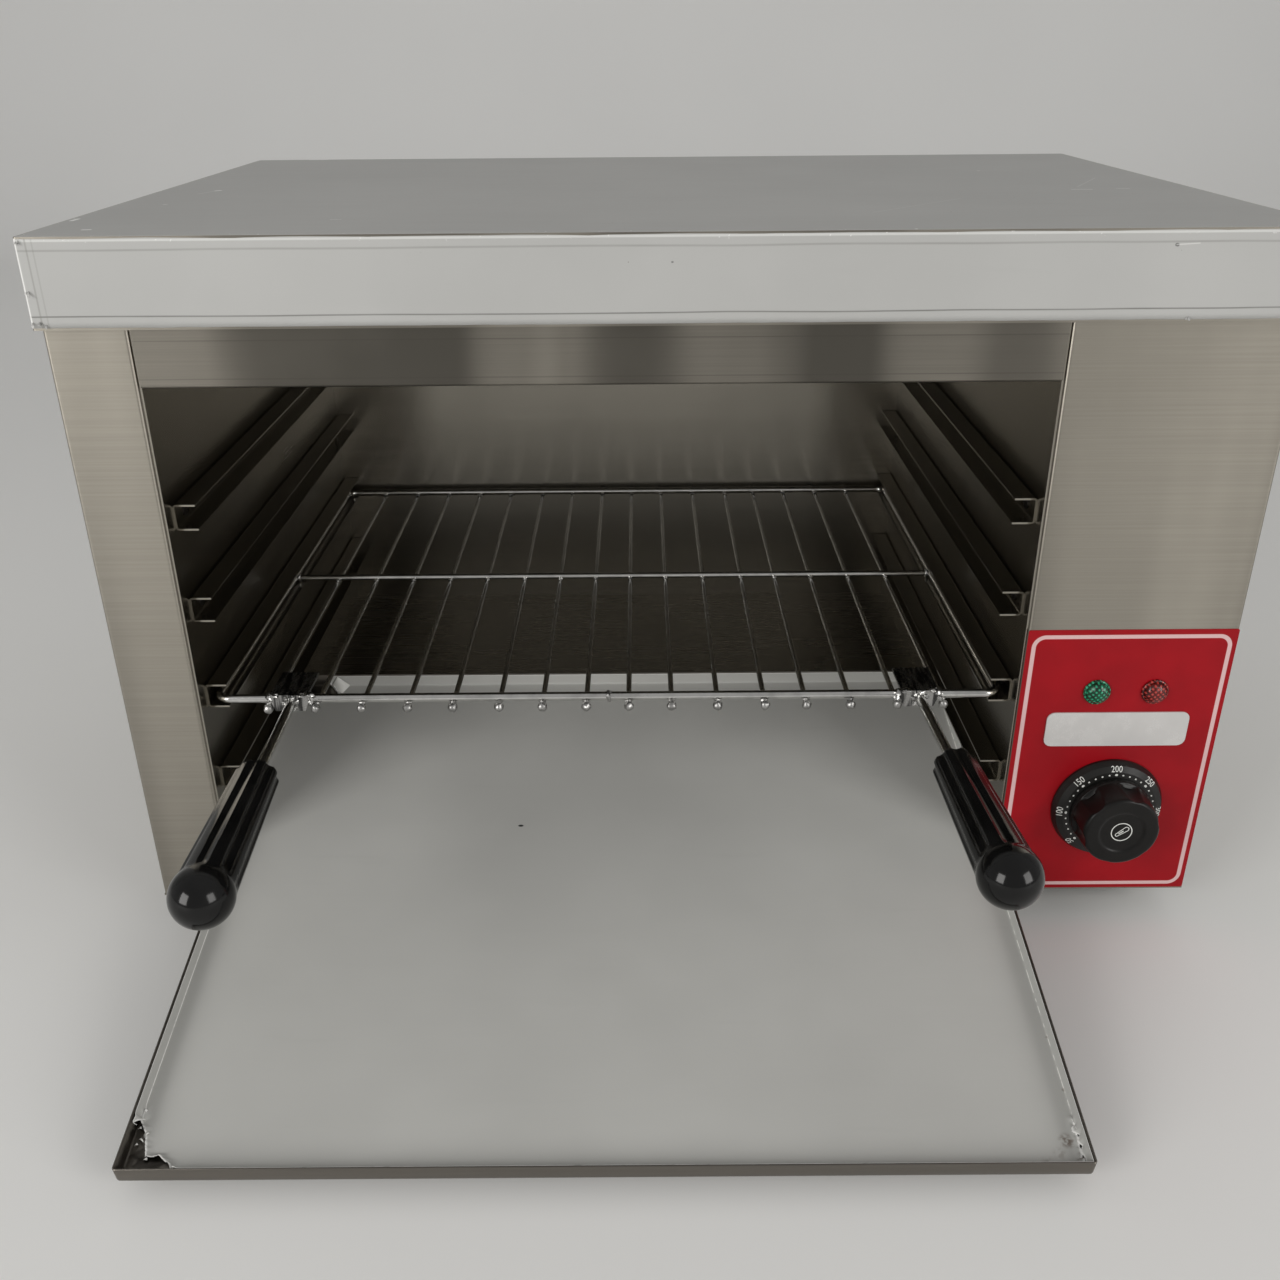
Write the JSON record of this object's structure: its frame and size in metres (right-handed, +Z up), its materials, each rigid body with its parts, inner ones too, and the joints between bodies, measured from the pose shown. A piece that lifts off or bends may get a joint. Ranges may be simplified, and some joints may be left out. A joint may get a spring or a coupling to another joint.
{
  "type": "countertop salamander grill",
  "caption": "Open-fronted sheet metal countertop grill with runners, a sliding wire rack with two handles, a tipping crumb tray and a thermostat knob.",
  "frame": {"origin": "on the surface that the feet stand on, under the middle of the cabinet", "axes": "+Z up, -Y out of the open front, +X towards the control housing on the right"},
  "size_m": [0.6064, 0.6167, 0.3932],
  "materials": {
    "steel": "brushed stainless sheet",
    "film": "white protective film",
    "chrome": "bright chromed wire",
    "bakelite": "polished black bakelite",
    "knob_black": "satin black plastic",
    "label_red": "printed label",
    "plate_white": "blank white plate",
    "green_lens": "green pilot lens",
    "red_lens": "red pilot lens",
    "lamp_white": "heat resistant plastic",
    "heater_steel": "oxidised heater tube",
    "zinc": "zinc plated steel",
    "copper": "copper tube",
    "brass": "brass",
    "thermostat_grey": "dark moulded plastic",
    "block_cream": "ceramic terminal block",
    "lead_grey": "silicone insulated lead",
    "gland_black": "nylon",
    "rubber_black": "black rubber"
  },
  "bodies": {
    "cabinet": {"base_pan": "steel", "left_panel": "steel", "right_panel": "steel", "header": "steel", "back_panel": "steel", "top_cover": "steel", "cover_film": "film", "cavity_left_wall": "steel", "cavity_right_wall": "steel", "cavity_back_wall": "steel", "cavity_ceiling": "steel", "cavity_floor": "steel", "rails_level_1": "steel", "rails_level_2": "steel", "rails_level_3": "steel", "rails_level_4": "steel", "rail_rivets": "steel", "front_heater": "heater_steel", "rear_heater": "heater_steel", "heater_ferrules": "zinc", "heater_hangers": "steel", "heater_terminals": "zinc", "thermostat_body": "thermostat_grey", "thermostat_screws": "zinc", "capillary_tube": "copper", "sensor_bulb": "copper", "bulb_clips": "steel", "scale_ring": "knob_black", "green_lens": "green_lens", "red_lens": "red_lens", "lamp_housings": "lamp_white", "control_label": "label_red", "blank_plate": "plate_white", "terminal_block": "block_cream", "earth_stud": "brass", "wiring": "lead_grey", "cord_gland": "gland_black", "gland_nut": "gland_black", "feet": "rubber_black", "foot_screws": "zinc", "foot_nuts": "zinc", "case_screws": "zinc"},
    "rack": {"rack_frame": "chrome", "rack_bar": "chrome", "rack_wires": "chrome", "left_bracket": "chrome", "right_bracket": "chrome", "left_rod": "chrome", "right_rod": "chrome", "left_grip": "bakelite", "right_grip": "bakelite"},
    "tray_carrier": {"sill_rod": "chrome"},
    "tray": {"tray_pan": "steel", "tray_film": "film"},
    "knob": {"thermostat_shaft": "zinc", "knob": "knob_black", "knob_cap": "knob_black"}
  },
  "joints": [
    {"name": "rack_slide", "type": "slide", "parent": "cabinet", "child": "rack", "axis": [0, -1, 0], "range_m": [0, 0.26]},
    {"name": "tray_tip", "type": "hinge", "parent": "cabinet", "child": "tray_carrier", "pos_m": [0, -0.1965, 0.0451], "axis": [1, 0, 0], "range_deg": [-10.7, 0]},
    {"name": "tray_slide", "type": "slide", "parent": "tray_carrier", "child": "tray", "axis": [0, 0.9826, 0.1857], "range_m": [0, 0.2]},
    {"name": "knob_turn", "type": "hinge", "parent": "cabinet", "child": "knob", "pos_m": [0.2459, -0.21, 0.0781], "axis": [0, 1, 0], "range_deg": [0, 250]}
  ],
  "couplings": [
    {"joint": "tray_tip", "follows": "tray_slide", "rad_per_m": -0.9337}
  ]
}
